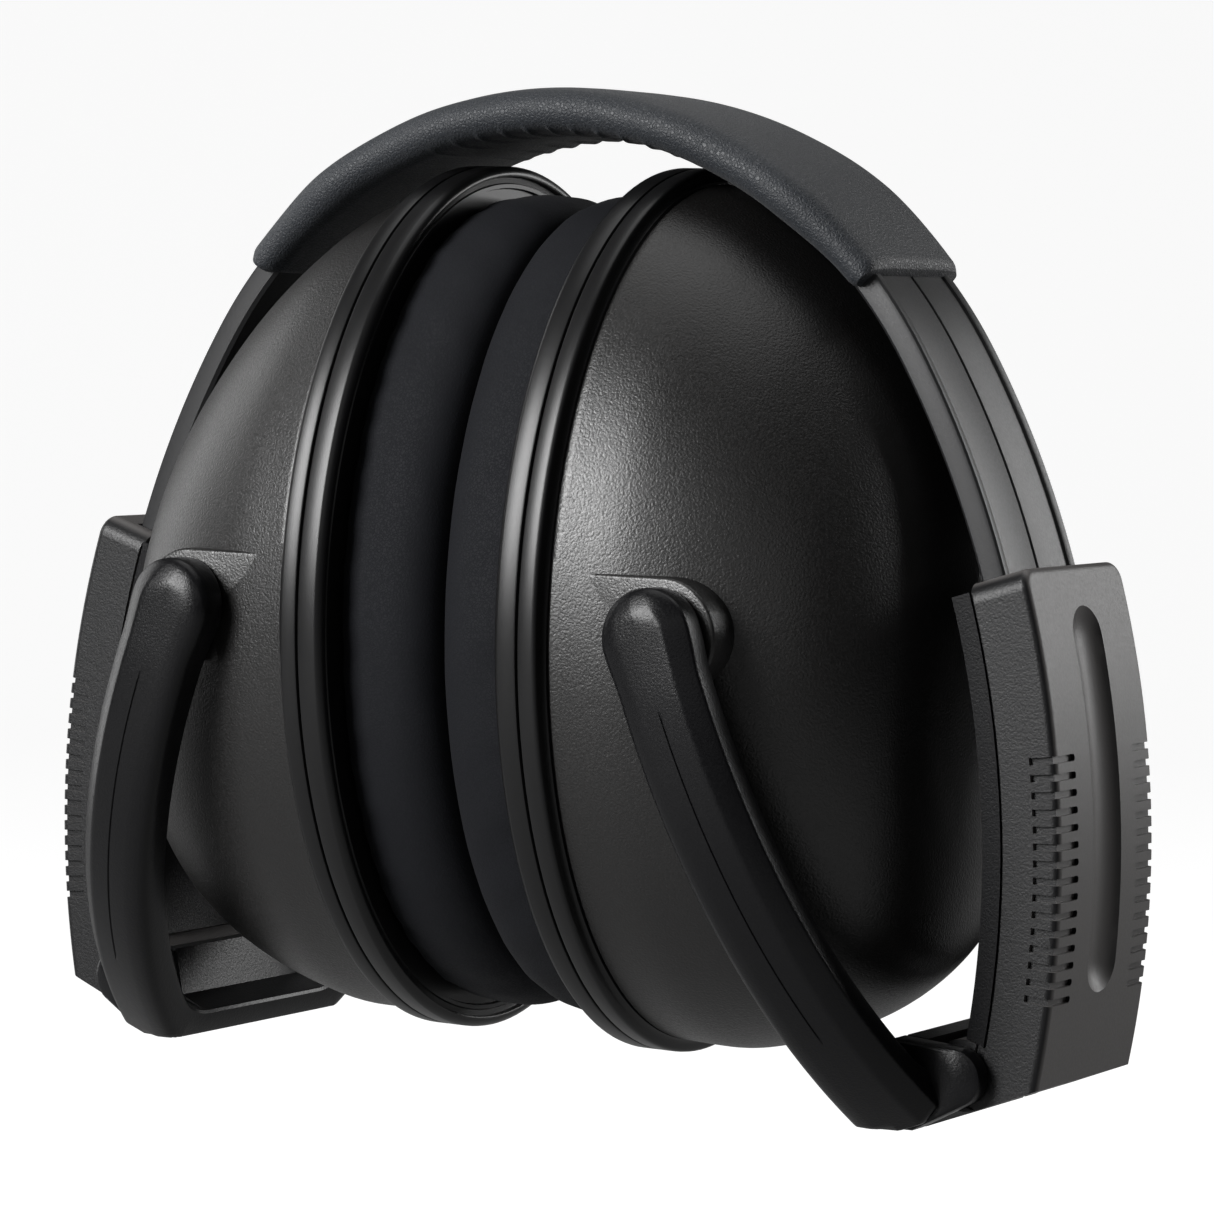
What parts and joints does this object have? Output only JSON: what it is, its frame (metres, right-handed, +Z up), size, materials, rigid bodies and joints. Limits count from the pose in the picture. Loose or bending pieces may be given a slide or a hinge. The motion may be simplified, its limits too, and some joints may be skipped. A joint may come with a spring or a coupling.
{
  "type": "earmuff hearing protector",
  "caption": "Folding over-head earmuff hearing protector: padded spring band, curved height sliders, hinged yokes and oval cups with ear cushions.",
  "frame": {"origin": "on the floor under the middle of the folded object", "axes": "+X towards one cup, +Y fore and aft, +Z up through the crown of the headband"},
  "size_m": [0.1394, 0.084, 0.117],
  "materials": {
    "cup_plastic": "satin, fine moulded texture",
    "rim_plastic": "smooth, semi-gloss",
    "yoke_plastic": "fine moulded texture",
    "slider_plastic": "smooth satin face, textured sides",
    "band_plastic": "satin",
    "pad_leather": "fine-grained soft synthetic leather",
    "cushion_leather": "matt soft synthetic leather",
    "foam": "open-cell foam",
    "steel": "plain"
  },
  "bodies": {
    "crown": {"pad_cover": "pad_leather", "pad_foam": "foam"},
    "band_right": {"band_strip_right": "band_plastic", "band_end_stop_right": "slider_plastic"},
    "slider_right": {"slider_outer_shell_right": "slider_plastic", "slider_inner_shell_right": "slider_plastic", "slider_detent_spring_right": "steel", "hinge_pin_right": "steel"},
    "stirrup_right": {"yoke_right": "yoke_plastic", "pivot_pin_front_right": "steel", "pivot_pin_rear_right": "steel"},
    "cup_right": {"cup_shell_right": "cup_plastic", "cup_foam_right": "foam", "cushion_plate_right": "rim_plastic", "cushion_cover_right": "cushion_leather", "cushion_foam_right": "foam"},
    "band_left": {"band_strip_left": "band_plastic", "band_end_stop_left": "slider_plastic"},
    "slider_left": {"slider_outer_shell_left": "slider_plastic", "slider_inner_shell_left": "slider_plastic", "slider_detent_spring_left": "steel", "hinge_pin_left": "steel"},
    "stirrup_left": {"yoke_left": "yoke_plastic", "pivot_pin_front_left": "steel", "pivot_pin_rear_left": "steel"},
    "cup_left": {"cup_shell_left": "cup_plastic", "cup_foam_left": "foam", "cushion_plate_left": "rim_plastic", "cushion_cover_left": "cushion_leather", "cushion_foam_left": "foam"}
  },
  "joints": [
    {"name": "spread_right", "type": "hinge", "parent": "crown", "child": "band_right", "pos_m": [0, 0, 0.1135], "axis": [0, -1, 0], "range_deg": [0, 28], "deforming": ["pad_cover", "pad_foam", "cushion_cover_right", "cushion_foam_right"]},
    {"name": "extend_right", "type": "hinge", "parent": "band_right", "child": "slider_right", "pos_m": [-0.0493, 0, 0.0277], "axis": [0, 1, 0], "range_deg": [0, 12], "deforming": ["cushion_cover_right", "cushion_foam_right"]},
    {"name": "fold_right", "type": "hinge", "parent": "slider_right", "child": "stirrup_right", "pos_m": [0.0585, 0, 0.0063], "axis": [0, -1, 0], "range_deg": [0, 112]},
    {"name": "turn_right", "type": "hinge", "parent": "stirrup_right", "child": "cup_right", "pos_m": [0.0324, 0, 0.0553], "axis": [0, 1, 0], "range_deg": [0, 140]},
    {"name": "spread_left", "type": "hinge", "parent": "crown", "child": "band_left", "pos_m": [0, 0, 0.1135], "axis": [0, 1, 0], "range_deg": [0, 28], "deforming": ["pad_cover", "pad_foam", "cushion_cover_left", "cushion_foam_left"]},
    {"name": "extend_left", "type": "hinge", "parent": "band_left", "child": "slider_left", "pos_m": [0.0493, 0, 0.0277], "axis": [0, -1, 0], "range_deg": [0, 12], "deforming": ["cushion_cover_left", "cushion_foam_left"]},
    {"name": "fold_left", "type": "hinge", "parent": "slider_left", "child": "stirrup_left", "pos_m": [-0.0585, 0, 0.0063], "axis": [0, 1, 0], "range_deg": [0, 112]},
    {"name": "turn_left", "type": "hinge", "parent": "stirrup_left", "child": "cup_left", "pos_m": [-0.0324, 0, 0.0553], "axis": [0, -1, 0], "range_deg": [0, 140]}
  ],
  "couplings": [
    {"joint": "fold_right", "follows": "spread_right", "ratio": 4},
    {"joint": "turn_right", "follows": "spread_right", "ratio": 5},
    {"joint": "fold_left", "follows": "spread_left", "ratio": 4},
    {"joint": "turn_left", "follows": "spread_left", "ratio": 5}
  ]
}
